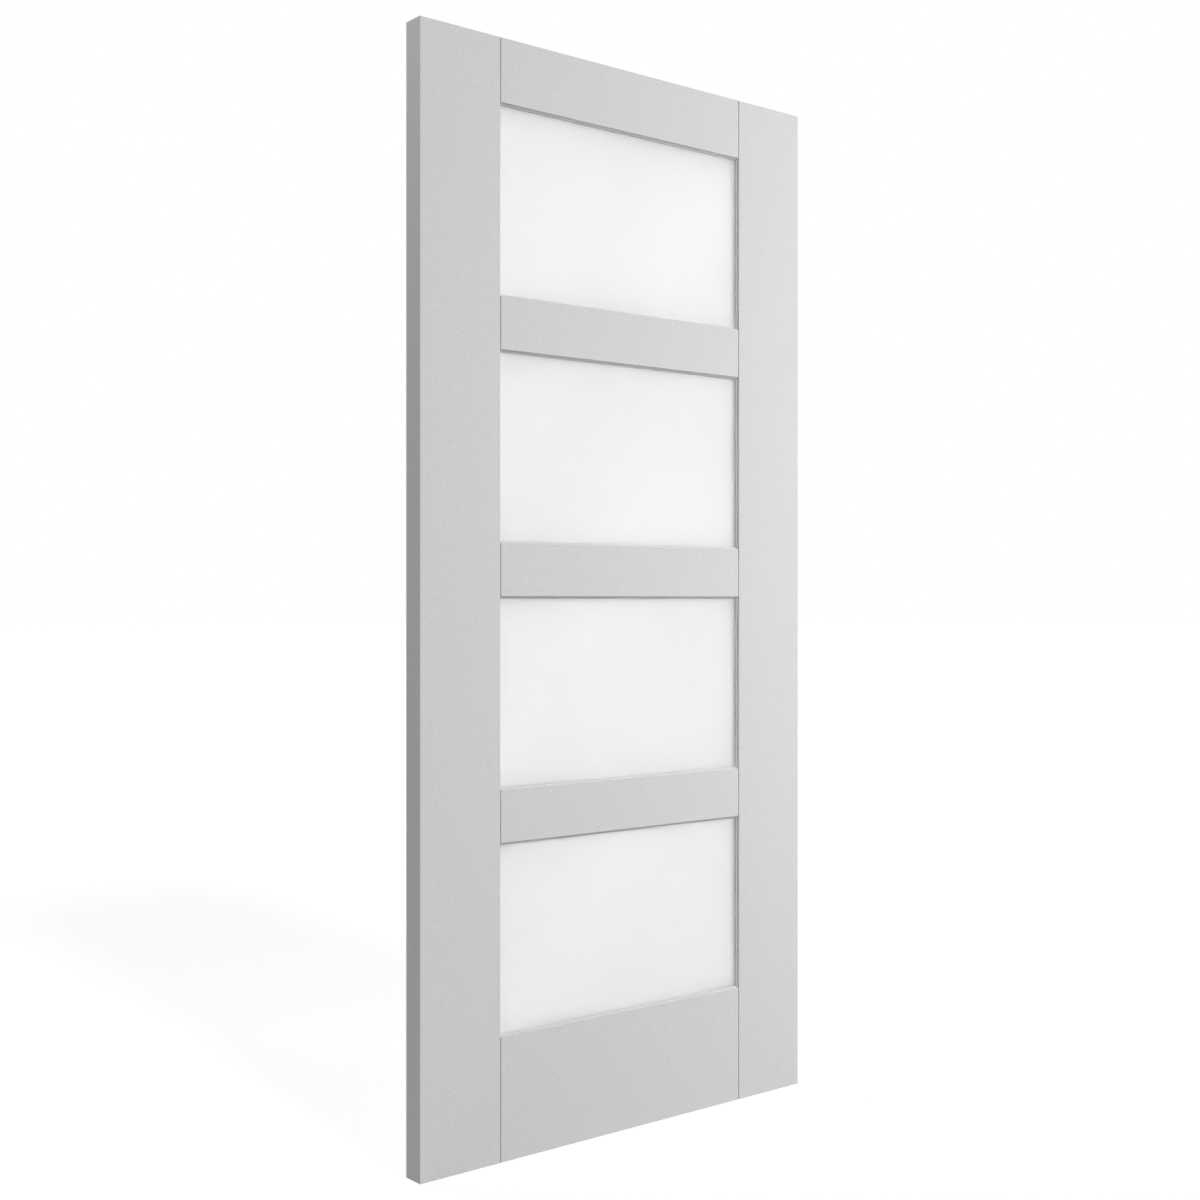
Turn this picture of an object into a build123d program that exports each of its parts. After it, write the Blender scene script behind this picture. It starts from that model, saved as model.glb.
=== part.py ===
"""Glazed interior door leaf: two stiles, five rails and four glazed lights.

Millimetres. X runs across the leaf from its hanging edge, Y from the front face to
the back face, Z up. The origin is the middle of the hanging edge.
"""
import os

from build123d import *

os.makedirs("parts", exist_ok=True)

# leaf
leaf_width = 915.0
leaf_height = 1981.0
leaf_thickness = 44.0
stile_width = 167.0
top_rail_height = 114.0
mid_rail_height = 94.0
bottom_rail_height = 221.0
light_count = 4
arris = 0.6                 # small chamfer along every long edge
quirk_width = 1.5           # narrow groove down both faces where a rail meets a stile
quirk_depth = 3.0

# moulded edge round each light, the same on the front lip and on the back bead
recess_depth = 5.0          # square step from the face down to the ledge
ledge_width = 3.0           # flat of the ledge
nose_slope = 0.5            # how far the nose leans out on its way down to the glass

# sealed glazing unit and the rebate it sits in
pane_thickness = 4.0
spacer_thickness = 20.0
spacer_width = 9.0
rebate_width = 10.0         # from the edge of the light into the stile or rail
unit_clearance = 3.0        # round the unit inside its rebate
block_length = 60.0

# derived
half_t = leaf_thickness / 2
half_h = leaf_height / 2
light_width = leaf_width - 2 * stile_width
light_height = (leaf_height - top_rail_height - bottom_rail_height
                - (light_count - 1) * mid_rail_height) / light_count
light_x0 = stile_width
light_x1 = leaf_width - stile_width
unit_half = pane_thickness + spacer_thickness / 2
lip_thickness = half_t - unit_half
nose_thickness = lip_thickness - recess_depth
unit_margin = rebate_width - unit_clearance
block_inset = light_width / 4

# height of the bottom and top edge of each light, light 1 being the top one
lights = []
for index in range(light_count):
    top = half_h - top_rail_height - index * (light_height + mid_rail_height)
    lights.append((top - light_height, top))

# sections as (offset from the edge of the light, height above the glass)
nose = [
    (0, 0),
    (ledge_width + nose_slope, 0),
    (ledge_width, nose_thickness),
    (0, nose_thickness),
]
bead = [
    (-rebate_width, 0),
    (ledge_width + nose_slope, 0),
    (ledge_width, nose_thickness),
    (0, nose_thickness),
    (0, lip_thickness - arris),
    (-arris, lip_thickness),
    (-rebate_width, lip_thickness),
]


def block(x0, x1, y0, y1, z0, z1):
    """A box between two corners."""
    return Pos((x0 + x1) / 2, (y0 + y1) / 2, (z0 + z1) / 2) * Box(x1 - x0, y1 - y0, z1 - z0)


def around(light, margin, y0, y1):
    """A box the size of a light, grown all round by a margin."""
    z0, z1 = light
    return block(light_x0 - margin, light_x1 + margin, y0, y1, z0 - margin, z1 + margin)


def mitred(section, side, light, facing):
    """A section run along one side of a light, mitred at both ends.

    facing is -1 for the front of the leaf and 1 for the back.
    """
    z0, z1 = light
    low = min(offset for offset, height in section)
    high = max(offset for offset, height in section)
    upright = side in ("left", "right")
    edge = {"left": light_x0, "right": light_x1, "bottom": z0, "top": z1}[side]
    inward = 1 if side in ("left", "bottom") else -1
    start, end = (z0, z1) if upright else (light_x0, light_x1)

    def place(along, offset, y):
        across = edge + inward * offset
        return (across, y, along) if upright else (along, y, across)

    profile = [place(start + low, offset, facing * (unit_half + height)) for offset, height in section]
    outline = [place(start + low, low, 0), place(start + high, high, 0),
               place(end - high, high, 0), place(end - low, low, 0)]
    bar = extrude(make_face(Polyline(*profile, close=True)), amount=end - start - 2 * low,
                  dir=(0, 0, 1) if upright else (1, 0, 0))
    wedge = extrude(make_face(Polyline(*outline, close=True)), amount=leaf_thickness, dir=(0, facing, 0))
    return bar & wedge


def eased_board(x0, x1, z0, z1):
    """A board of the leaf's thickness with a small chamfer along every edge of both faces."""
    board = block(x0, x1, -half_t, half_t, z0, z1)
    return chamfer(board.edges().filter_by(Axis.X) + board.edges().filter_by(Axis.Z), arris)


def quirked_board(x0, x1, z0, z1):
    """A rail's board: its ends are cut back at both faces, so a quirk shows beside each stile."""
    face = eased_board(x0 + quirk_width, x1 - quirk_width, z0, z1)
    inside = half_t - quirk_depth
    return face + block(x0, x1, -inside, inside, z0, z1)


def member(board, z0, z1, noses):
    """A stile or rail: its board, rebated for the units, with its noses on."""
    for light in lights:
        if light[0] - rebate_width < z1 and light[1] + rebate_width > z0:
            board -= around(light, rebate_width, -unit_half, half_t + 1)
    for side, light in noses:
        board += mitred(nose, side, light, -1)
    return board


def save(shape, name):
    export_step(shape, f"parts/{name}.step")


def stile(x0, x1, side):
    """A full-height member; side is the side of the lights that it closes."""
    return member(eased_board(x0, x1, -half_h, half_h), -half_h, half_h, [(side, light) for light in lights])


def rail(z0, z1, noses):
    """A member between the stiles."""
    return member(quirked_board(light_x0, light_x1, z0, z1), z0, z1, noses)


save(stile(0, light_x0, "left"), "left_stile")
save(stile(light_x1, leaf_width, "right"), "right_stile")
save(rail(lights[0][1], half_h, [("top", lights[0])]), "top_rail")
for number in range(1, light_count):
    above, below = lights[number - 1], lights[number]
    save(rail(below[1], above[0], [("bottom", above), ("top", below)]), f"mid_rail_{number}")
save(rail(-half_h, lights[-1][0], [("bottom", lights[-1])]), "bottom_rail")

# glazing: two panes on an edge spacer, stood on a pair of blocks, held by beads at the back
for number, light in enumerate(lights, start=1):
    save(around(light, unit_margin, -unit_half, -unit_half + pane_thickness), f"front_pane_{number}")
    save(around(light, unit_margin, unit_half - pane_thickness, unit_half), f"back_pane_{number}")
    spacer = (around(light, unit_margin, -spacer_thickness / 2, spacer_thickness / 2)
              - around(light, unit_margin - spacer_width, -spacer_thickness, spacer_thickness))
    save(spacer, f"spacer_{number}")

    pair = []
    for x in (light_x0 + block_inset, light_x1 - block_inset):
        pair.append(block(x - block_length / 2, x + block_length / 2, -unit_half, unit_half,
                          light[0] - rebate_width, light[0] - unit_margin))
    save(Compound(children=pair), f"setting_blocks_{number}")

    for side in ("left", "right", "top", "bottom"):
        save(mitred(bead, side, light, 1), f"{side}_bead_{number}")
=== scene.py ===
import math

import bmesh
import bpy
from bpy.props import FloatProperty, FloatVectorProperty, PointerProperty
from mathutils import Matrix, Vector


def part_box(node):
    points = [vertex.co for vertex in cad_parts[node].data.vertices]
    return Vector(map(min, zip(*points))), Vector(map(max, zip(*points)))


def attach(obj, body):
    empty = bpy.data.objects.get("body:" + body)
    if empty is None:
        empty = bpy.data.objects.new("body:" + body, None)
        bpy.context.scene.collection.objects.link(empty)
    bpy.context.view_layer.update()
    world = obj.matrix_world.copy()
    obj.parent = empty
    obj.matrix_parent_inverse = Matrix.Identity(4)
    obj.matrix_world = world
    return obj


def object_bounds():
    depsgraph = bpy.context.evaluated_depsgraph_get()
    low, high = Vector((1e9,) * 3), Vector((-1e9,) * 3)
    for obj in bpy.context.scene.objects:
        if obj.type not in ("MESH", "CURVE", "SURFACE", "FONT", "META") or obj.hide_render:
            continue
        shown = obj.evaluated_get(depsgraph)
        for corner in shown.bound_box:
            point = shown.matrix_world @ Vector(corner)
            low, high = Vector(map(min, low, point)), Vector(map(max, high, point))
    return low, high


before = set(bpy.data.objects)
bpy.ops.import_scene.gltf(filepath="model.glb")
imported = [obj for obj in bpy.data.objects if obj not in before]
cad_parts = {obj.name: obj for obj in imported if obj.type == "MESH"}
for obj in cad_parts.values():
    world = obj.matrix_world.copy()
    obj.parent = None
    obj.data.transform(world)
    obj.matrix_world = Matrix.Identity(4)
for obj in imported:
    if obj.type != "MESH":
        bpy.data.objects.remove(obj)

bl_info = {
    "name": "Glazed interior door leaf",
    "version": (1, 0, 0),
    "blender": (4, 5, 0),
    "location": "3D Viewport > Sidebar > Door leaf",
    "description": "Finishes a stile and rail door leaf with four obscure glass lights",
    "category": "Object",
}

MM = 0.001
CAD_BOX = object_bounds()
MIDDLE = (CAD_BOX[0] + CAD_BOX[1]) / 2

NODES = sorted(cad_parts)
STILES = [name for name in NODES if name.endswith("_stile")]
RAILS = [name for name in NODES if "_rail" in name]
BEADS = [name for name in NODES if "_bead_" in name]
FRONT_PANES = [name for name in NODES if name.startswith("front_pane_")]
BACK_PANES = [name for name in NODES if name.startswith("back_pane_")]
SPACERS = [name for name in NODES if name.startswith("spacer_")]
BLOCKS = [name for name in NODES if name.startswith("setting_blocks_")]
LIGHTS = range(1, len(SPACERS) + 1)

# the rails run exactly across the lights, and a bead reaches into the stile by the rebate
LIGHT_LEFT, LIGHT_RIGHT = (corner.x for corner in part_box("top_rail"))
REBATE = LIGHT_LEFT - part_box("left_bead_1")[0].x

# refractive index of each finish
ACRYLIC_IOR = 1.46
GLASS_IOR = 1.52
BAR_COATING_IOR = 1.5
POLYPROPYLENE_IOR = 1.49

PRIMER = "sprayed_acrylic_primer"
SHEEN_DRIFT = 0.05          # how far the primer's roughness drifts to either side
BLOCK_TIPS = 1.3            # how much lighter the tips of the blocks' grain are
PIN_SIDES = 16
PIN_TOP = 0.6               # top of a pin head, as a share of its foot
WHITE = 1.0                 # the strength that renders as white
LEVEL = math.radians(90)    # how far a camera or lamp turns up from looking straight down
SENSOR_WIDTH = 36.0         # millimetres
CLIP_NEAR, CLIP_FAR = 0.05, 200.0       # metres; the corners of the floor are 85 m off


def linear(code):
    """An sRGB hex colour as linear red, green and blue."""
    values = [int(code[i:i + 2], 16) / 255 for i in (1, 3, 5)]
    return tuple(v / 12.92 if v <= 0.04045 else ((v + 0.055) / 1.055) ** 2.4 for v in values)


def colour(name, description, code):
    """A colour that a user can change, from its sRGB hex value."""
    return FloatVectorProperty(name=name, description=description, subtype="COLOR",
                               size=3, min=0, max=1, default=linear(code))


def length(name, description, default, least):
    """A length that a user can change, in metres."""
    return FloatProperty(name=name, description=description, unit="LENGTH",
                         min=least, default=default)


def share(name, description, default):
    """A number from 0 to 1 that a user can change."""
    return FloatProperty(name=name, description=description, subtype="FACTOR",
                         min=0, max=1, default=default)


def angle(name, description, degrees):
    """An angle that a user can change, from its value in degrees."""
    return FloatProperty(name=name, description=description, unit="ROTATION",
                         default=math.radians(degrees))


def strength(name, description, default):
    """A strength that a user can change, from nothing up."""
    return FloatProperty(name=name, description=description, min=0, default=default)


def place(name, description, default):
    """A point that a user can change, in metres."""
    return FloatVectorProperty(name=name, description=description, subtype="XYZ",
                               unit="LENGTH", size=3, default=default)


class PrimerFinish(bpy.types.PropertyGroup):
    pale: colour("Pale primer", "Colour where the coat is fullest", "#E7E7E7")
    thin: colour("Thin primer", "Colour where the coat is a little thinner", "#D6D6D6")
    speckle: length("Speckle", "Width of the fine grey specks in the coat", 2.4 * MM, 0.5 * MM)
    drift: length("Coat drift", "Width of the soft changes of sheen in the coat",
                  90 * MM, 10 * MM)
    peel: length("Spray peel", "Distance between the bumps that spraying leaves",
                 3.2 * MM, 0.5 * MM)
    peel_height: length("Peel height", "Height of those bumps", 0.1 * MM, 0)
    roughness: share("Roughness", "Surface roughness of the dry primer", 0.62)


class GlassFinish(bpy.types.PropertyGroup):
    clear: colour("Glass", "Colour of the etched glass", "#FFFFFF")
    cloudy: colour("Cloud", "Colour where the etching is densest", "#FCFCFC")
    cloud: length("Cloud width", "Width of the soft clouds in the etching", 260 * MM, 10 * MM)
    etch: length("Etch grain", "Grain of the acid-etched face", 2.4 * MM, 0.5 * MM)
    etch_height: length("Etch height", "Depth of that grain", 0.02 * MM, 0)
    front_clearness: share("Front clearness", "Share of light the front pane lets through", 0.58)
    back_clearness: share("Back clearness", "Share of light the back pane lets through", 0.7)
    roughness: share("Roughness", "Roughness of the etched face", 0.9)


class UnitEdgeFinish(bpy.types.PropertyGroup):
    bar: colour("Spacer bar", "Colour of the coated spacer bar", "#F0F0EF")
    dusty: colour("Dusty bar", "Colour where the bar has dulled", "#E6E6E4")
    dust: length("Dust width", "Width of the dulled patches on the bar", 6 * MM, 0.5 * MM)
    bar_roughness: share("Bar roughness", "Surface roughness of the coated bar", 0.45)
    block: colour("Setting block", "Colour of the setting blocks", "#2A2A2B")
    grain: length("Mould grain", "Grain of the moulded blocks", 0.8 * MM, 0.2 * MM)
    grain_height: length("Grain height", "Depth of that grain", 0.03 * MM, 0)
    block_roughness: share("Block roughness", "Surface roughness of the setting blocks", 0.6)


class BeadPins(bpy.types.PropertyGroup):
    radius: length("Head radius", "Radius of a filled pin head", 0.8 * MM, 0.2 * MM)
    proud: length("Proud", "How far the filler stands off the bead", 0.08 * MM, 0.01 * MM)
    step: length("Bead step", "Depth of the bead's square step, pinned half way down",
                 5 * MM, 1 * MM)
    margin: length("End margin", "From the corner of a light to the first pin", 45 * MM, 10 * MM)
    spacing: length("Spacing", "Largest distance between pins", 150 * MM, 20 * MM)


class StageSettings(bpy.types.PropertyGroup):
    sun_height: angle("Lamp height", "Angle of the two far soft lamps above the horizon", 33)
    sun_spread: angle("Lamp spread", "Angle each far lamp takes up, which softens shadows", 10)
    front_turn: angle("Front lamp turn", "How far the front lamp stands to the right", -4)
    front_strength: strength("Front lamp strength", "Strength of the front lamp, W/m2", 1.56)
    rear_turn: angle("Rear lamp turn", "How far round to the right the rear lamp stands", -165)
    rear_strength: strength("Rear lamp strength", "Strength of the rear lamp, W/m2", 2.2)
    side_place: place("Side place", "Where the lamp beside the leaf stands", (2.6, -1.8, 0.5))
    side_width: length("Side width", "Width of the lamp beside the leaf", 0.8, 0.1)
    side_height: length("Side height", "Height of the lamp beside the leaf", 2.4, 0.1)
    side_power: FloatProperty(name="Side power", description="Power of the lamp beside the leaf",
                              unit="POWER", min=0, default=35.0)
    ambient: strength("Room light", "Strength of the even light from all round", 0.06)
    floor_tone: colour("Floor", "Colour of the pale floor", "#A0A0A0")
    floor_lift: strength("Floor lift", "What brings the floor up to white for the camera", 0.78)
    floor_reach: length("Floor reach", "Half the side of the floor", 60.0, 2.0)
    camera_place: place("Camera place", "Level with the middle of the leaf",
                        (-1.5003, -2.3539, 0.0))
    camera_turn: angle("Camera turn", "Angle between the view and the leaf's depth", 39.07)
    lens: FloatProperty(name="Lens", description="Focal length on a sensor 36 mm wide",
                        unit="CAMERA", min=1, default=48.8)


class DoorLeafSettings(bpy.types.PropertyGroup):
    primer: PointerProperty(type=PrimerFinish)
    glass: PointerProperty(type=GlassFinish)
    unit_edge: PointerProperty(type=UnitEdgeFinish)
    pins: PointerProperty(type=BeadPins)
    stage: PointerProperty(type=StageSettings)


def add(tree, kind, inputs=None, **settings):
    """Adds a node; inputs gives sockets, by name or number, a value or another node's output."""
    made = tree.nodes.new(kind)
    for key, value in settings.items():
        setattr(made, key, value)
    for key, value in (inputs or {}).items():
        if isinstance(value, bpy.types.NodeSocket):
            tree.links.new(value, made.inputs[key])
        else:
            made.inputs[key].default_value = value
    return made


def empty_material(name):
    """A new node material without nodes, and its tree."""
    material = bpy.data.materials.new(name)
    material.use_nodes = True
    material.node_tree.nodes.clear()
    return material, material.node_tree


def noise(tree, width, detail):
    """Noise on Object coordinates whose patches are about as wide as given."""
    where = add(tree, "ShaderNodeTexCoord").outputs["Object"]
    return add(tree, "ShaderNodeTexNoise", {"Vector": where, "Scale": 1 / width, "Detail": detail})


def two_tones(tree, pattern, dark, light, spread):
    """A colour that goes from dark to light within the spread to either side of mid noise."""
    tone = add(tree, "ShaderNodeMapRange", {
        "Value": pattern.outputs["Fac"], "From Min": 0.5 - spread, "From Max": 0.5 + spread})
    mixed = add(tree, "ShaderNodeMix", {
        "Factor": tone.outputs["Result"], "A": (*dark, 1), "B": (*light, 1)}, data_type="RGBA")
    return mixed.outputs[2]


def relief(tree, pattern, height):
    """A bump of the given height from a pattern."""
    bump = add(tree, "ShaderNodeBump", {"Height": pattern.outputs["Fac"], "Distance": height})
    return bump.outputs["Normal"]


def surface(tree, shader):
    """Makes a shader the material's surface."""
    add(tree, "ShaderNodeOutputMaterial", {"Surface": shader.outputs[0]})


def primer_material(settings):
    """Sprayed acrylic primer, rubbed down: pale grey, low sheen, fine specks and a faint peel."""
    material, tree = empty_material(PRIMER)
    drift = noise(tree, settings.drift, detail=3)
    # the real specks and peel are about 1 mm across, drawn two to three times as wide to show
    specks = noise(tree, settings.speckle, detail=1)
    peel = noise(tree, settings.peel, detail=2)
    sheen = add(tree, "ShaderNodeMapRange", {
        "Value": drift.outputs["Fac"],
        "To Min": settings.roughness - SHEEN_DRIFT,
        "To Max": settings.roughness + SHEEN_DRIFT,
    })
    surface(tree, add(tree, "ShaderNodeBsdfPrincipled", {
        "Base Color": two_tones(tree, specks, settings.thin, settings.pale, spread=0.25),
        "Roughness": sheen.outputs["Result"],
        "IOR": ACRYLIC_IOR,
        "Normal": relief(tree, peel, settings.peel_height),
    }))
    return material


def glass_material(name, settings, clearness):
    """Acid-etched float glass: milky, scatters what is behind it, soft reflections."""
    material, tree = empty_material(name)
    cloud = noise(tree, settings.cloud, detail=1)
    # the real grain is a few hundredths of a millimetre, drawn far wider to show close up
    etch = noise(tree, settings.etch, detail=2)
    surface(tree, add(tree, "ShaderNodeBsdfPrincipled", {
        "Base Color": two_tones(tree, cloud, settings.cloudy, settings.clear, spread=0.15),
        "Roughness": settings.roughness,
        "IOR": GLASS_IOR,
        "Transmission Weight": clearness,
        "Normal": relief(tree, etch, settings.etch_height),
    }))
    return material


def spacer_material(settings):
    """White-coated aluminium bar: a smooth off-white that keeps the edge of the glass bright."""
    material, tree = empty_material("coated_aluminium_bar")
    dust = noise(tree, settings.dust, detail=2)
    surface(tree, add(tree, "ShaderNodeBsdfPrincipled", {
        "Base Color": two_tones(tree, dust, settings.dusty, settings.bar, spread=0.2),
        "Roughness": settings.bar_roughness,
        "IOR": BAR_COATING_IOR,
    }))
    return material


def block_material(settings):
    """Moulded polypropylene packer: dull black with a fine grain."""
    material, tree = empty_material("moulded_polypropylene")
    grain = noise(tree, settings.grain, detail=1)
    lighter = tuple(BLOCK_TIPS * value for value in settings.block)
    surface(tree, add(tree, "ShaderNodeBsdfPrincipled", {
        "Base Color": two_tones(tree, grain, settings.block, lighter, spread=0.2),
        "Roughness": settings.block_roughness,
        "IOR": POLYPROPYLENE_IOR,
        "Normal": relief(tree, grain, settings.grain_height),
    }))
    return material


def seen(tree):
    """1 for what the camera sees straight, reflected or through glass, and 0 for lighting."""
    path = add(tree, "ShaderNodeLightPath").outputs
    straight = add(tree, "ShaderNodeMath", {0: path["Is Camera Ray"], 1: path["Is Glossy Ray"]},
                   operation="MAXIMUM")
    either = add(tree, "ShaderNodeMath", {0: straight.outputs[0], 1: path["Is Transmission Ray"]},
                 operation="MAXIMUM")
    return either.outputs[0]


def paper_material(settings):
    """Matt white paper: white to the eye, with the leaf's shadow kept."""
    material, tree = empty_material("matt_white_paper")
    lift = add(tree, "ShaderNodeMath", {0: seen(tree), 1: settings.floor_lift},
               operation="MULTIPLY")
    matt = add(tree, "ShaderNodeBsdfDiffuse", {"Color": (*settings.floor_tone, 1)})
    glow = add(tree, "ShaderNodeEmission", {"Strength": lift.outputs[0]})
    surface(tree, add(tree, "ShaderNodeAddShader", {0: matt.outputs[0], 1: glow.outputs[0]}))
    return material


def primer(context):
    """The primer that all the timber shares, made on first use."""
    return bpy.data.materials.get(PRIMER) or primer_material(context.scene.door_leaf.primer)


def dress(names, material):
    """Puts a material in the slots of CAD nodes."""
    if not names:
        raise RuntimeError(f"no node in the frame takes {material.name}")
    for name in names:
        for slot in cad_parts[name].material_slots:
            slot.material = material


class DOORLEAF_OT_stiles(bpy.types.Operator):
    """Primes the two full-height stiles"""
    bl_idname = "doorleaf.stiles"
    bl_label = "Prime stiles"

    def execute(self, context):
        dress(STILES, primer(context))
        return {"FINISHED"}


class DOORLEAF_OT_rails(bpy.types.Operator):
    """Primes the top, middle and bottom rails"""
    bl_idname = "doorleaf.rails"
    bl_label = "Prime rails"

    def execute(self, context):
        dress(RAILS, primer(context))
        return {"FINISHED"}


class DOORLEAF_OT_beads(bpy.types.Operator):
    """Primes the glazing beads at the back"""
    bl_idname = "doorleaf.beads"
    bl_label = "Prime beads"

    def execute(self, context):
        dress(BEADS, primer(context))
        return {"FINISHED"}


class DOORLEAF_OT_panes(bpy.types.Operator):
    """Gives each light a milky front pane and a clearer, lightly etched back pane"""
    bl_idname = "doorleaf.panes"
    bl_label = "Etch panes"

    def execute(self, context):
        glass = context.scene.door_leaf.glass
        milky = glass_material("acid_etched_float_glass", glass, glass.front_clearness)
        clearer = glass_material("lightly_etched_float_glass", glass, glass.back_clearness)
        dress(FRONT_PANES, milky)
        dress(BACK_PANES, clearer)
        return {"FINISHED"}


class DOORLEAF_OT_unit_edges(bpy.types.Operator):
    """Finishes the spacers and setting blocks at the edges of the glazing units"""
    bl_idname = "doorleaf.unit_edges"
    bl_label = "Finish unit edges"

    def execute(self, context):
        settings = context.scene.door_leaf.unit_edge
        dress(SPACERS, spacer_material(settings))
        dress(BLOCKS, block_material(settings))
        return {"FINISHED"}


def pin_row(shape, pins, corner, along, inward, side):
    """Sets pin heads along one side of a light; along and inward are unit directions."""
    run = side - 2 * pins.margin
    if run <= 0:
        raise RuntimeError("the end margin leaves no room for pins between the corners of a light")
    gaps = math.ceil(run / pins.spacing)
    turn = inward.to_track_quat("Z", "Y").to_matrix().to_4x4()
    for i in range(gaps + 1):
        middle = corner + along * (pins.margin + run * i / gaps) + inward * pins.proud / 2
        bmesh.ops.create_cone(shape, cap_ends=True, segments=PIN_SIDES, radius1=pins.radius,
                              radius2=PIN_TOP * pins.radius, depth=pins.proud,
                              matrix=Matrix.Translation(middle) @ turn)


class DOORLEAF_OT_bead_pins(bpy.types.Operator):
    """Sets filled pin heads in the square step of every bead"""
    bl_idname = "doorleaf.bead_pins"
    bl_label = "Pin beads"

    def execute(self, context):
        pins = context.scene.door_leaf.pins
        right, up = Vector((1, 0, 0)), Vector((0, 0, 1))
        width = LIGHT_RIGHT - LIGHT_LEFT
        shape = bmesh.new()
        for light in LIGHTS:
            low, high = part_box(f"left_bead_{light}")
            height = high.z - low.z - 2 * REBATE
            depth = high.y - pins.step / 2
            near = Vector((LIGHT_LEFT, depth, low.z + REBATE))
            far = Vector((LIGHT_RIGHT, depth, high.z - REBATE))
            pin_row(shape, pins, near, up, right, height)
            pin_row(shape, pins, near, right, up, width)
            pin_row(shape, pins, far, -up, -right, height)
            pin_row(shape, pins, far, -right, -up, width)
        mesh = bpy.data.meshes.new("bead_pins")
        shape.to_mesh(mesh)
        shape.free()
        mesh.materials.append(primer(context))
        piece = bpy.data.objects.new("bead_pins", mesh)
        context.scene.collection.objects.link(piece)
        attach(piece, "root")
        return {"FINISHED"}


def lay_floor(scene, settings):
    """A sheet of paper level with the foot of the leaf."""
    shape = bmesh.new()
    bmesh.ops.create_grid(shape, x_segments=1, y_segments=1, size=settings.floor_reach)
    bmesh.ops.translate(shape, verts=shape.verts, vec=(0, 0, CAD_BOX[0].z))
    mesh = bpy.data.meshes.new("floor")
    shape.to_mesh(mesh)
    shape.free()
    mesh.materials.append(paper_material(settings))
    floor = bpy.data.objects.new("floor", mesh)
    scene.collection.objects.link(floor)


def light_room(scene, settings):
    """An even white room: the eye sees it white, and it lights the leaf more weakly."""
    world = bpy.data.worlds.new("even_white_room")
    world.use_nodes = True
    tree = world.node_tree
    tree.nodes.clear()
    level = add(tree, "ShaderNodeMapRange", {
        "Value": seen(tree), "To Min": settings.ambient, "To Max": WHITE})
    room = add(tree, "ShaderNodeBackground", {
        "Color": (1, 1, 1, 1), "Strength": level.outputs["Result"]})
    add(tree, "ShaderNodeOutputWorld", {"Surface": room.outputs[0]})
    scene.world = world


def hang_far_lamp(scene, settings, name, turn, power):
    """A soft lamp so far off that it lights the top and the bottom of the leaf alike."""
    lamp = bpy.data.lights.new(name, "SUN")
    lamp.angle = settings.sun_spread
    lamp.energy = power
    stand = bpy.data.objects.new(name, lamp)
    stand.rotation_euler = (LEVEL - settings.sun_height, 0, turn)
    scene.collection.objects.link(stand)


def stand_side_lamp(scene, settings):
    """A lamp turned to the middle of the leaf, tall so that both of its ends are lit alike."""
    lamp = bpy.data.lights.new("side", "AREA")
    lamp.shape = "RECTANGLE"
    lamp.size, lamp.size_y = settings.side_width, settings.side_height
    lamp.energy = settings.side_power
    stand = bpy.data.objects.new("side", lamp)
    stand.location = settings.side_place
    stand.rotation_euler = (MIDDLE - stand.location).to_track_quat("-Z", "Y").to_euler()
    scene.collection.objects.link(stand)


def set_camera(scene, settings):
    """A level camera at the photograph's viewing angle."""
    lens = bpy.data.cameras.new("camera")
    lens.sensor_width = SENSOR_WIDTH
    lens.lens = settings.lens
    lens.clip_start, lens.clip_end = CLIP_NEAR, CLIP_FAR
    camera = bpy.data.objects.new("camera", lens)
    camera.location = settings.camera_place
    camera.rotation_euler = (LEVEL, 0, -settings.camera_turn)
    scene.collection.objects.link(camera)
    scene.camera = camera


class DOORLEAF_OT_stage(bpy.types.Operator):
    """Builds the pale floor, the even room light, the three soft lamps and the camera"""
    bl_idname = "doorleaf.stage"
    bl_label = "Set stage"

    def execute(self, context):
        scene = context.scene
        settings = scene.door_leaf.stage
        lay_floor(scene, settings)
        light_room(scene, settings)
        hang_far_lamp(scene, settings, "front", settings.front_turn, settings.front_strength)
        hang_far_lamp(scene, settings, "rear", settings.rear_turn, settings.rear_strength)
        stand_side_lamp(scene, settings)
        set_camera(scene, settings)
        scene.view_settings.view_transform = "Standard"
        return {"FINISHED"}


class DOORLEAF_PT_panel(bpy.types.Panel):
    """Lists the steps that finish the leaf, with their settings"""
    bl_idname = "DOORLEAF_PT_panel"
    bl_label = "Door leaf"
    bl_space_type = "VIEW_3D"
    bl_region_type = "UI"
    bl_category = "Door leaf"

    def draw(self, context):
        column = self.layout.column()
        for operator in OPERATORS:
            column.operator(operator.bl_idname)
        for group in DoorLeafSettings.__annotations__:
            settings = getattr(context.scene.door_leaf, group)
            box = self.layout.box()
            for name in settings.__annotations__:
                box.prop(settings, name)


GROUPS = (PrimerFinish, GlassFinish, UnitEdgeFinish, BeadPins, StageSettings, DoorLeafSettings)
OPERATORS = (DOORLEAF_OT_stiles, DOORLEAF_OT_rails, DOORLEAF_OT_beads, DOORLEAF_OT_panes,
             DOORLEAF_OT_unit_edges, DOORLEAF_OT_bead_pins, DOORLEAF_OT_stage)
CLASSES = (*GROUPS, *OPERATORS, DOORLEAF_PT_panel)


def register():
    for cls in CLASSES:
        bpy.utils.register_class(cls)
    bpy.types.Scene.door_leaf = PointerProperty(type=DoorLeafSettings)


def unregister():
    del bpy.types.Scene.door_leaf
    for cls in reversed(CLASSES):
        bpy.utils.unregister_class(cls)


def main():
    register()
    bpy.ops.doorleaf.stiles()
    bpy.ops.doorleaf.rails()
    bpy.ops.doorleaf.beads()
    bpy.ops.doorleaf.panes()
    bpy.ops.doorleaf.unit_edges()
    bpy.ops.doorleaf.bead_pins()
    bpy.ops.doorleaf.stage()


if __name__ == "__main__":
    main()
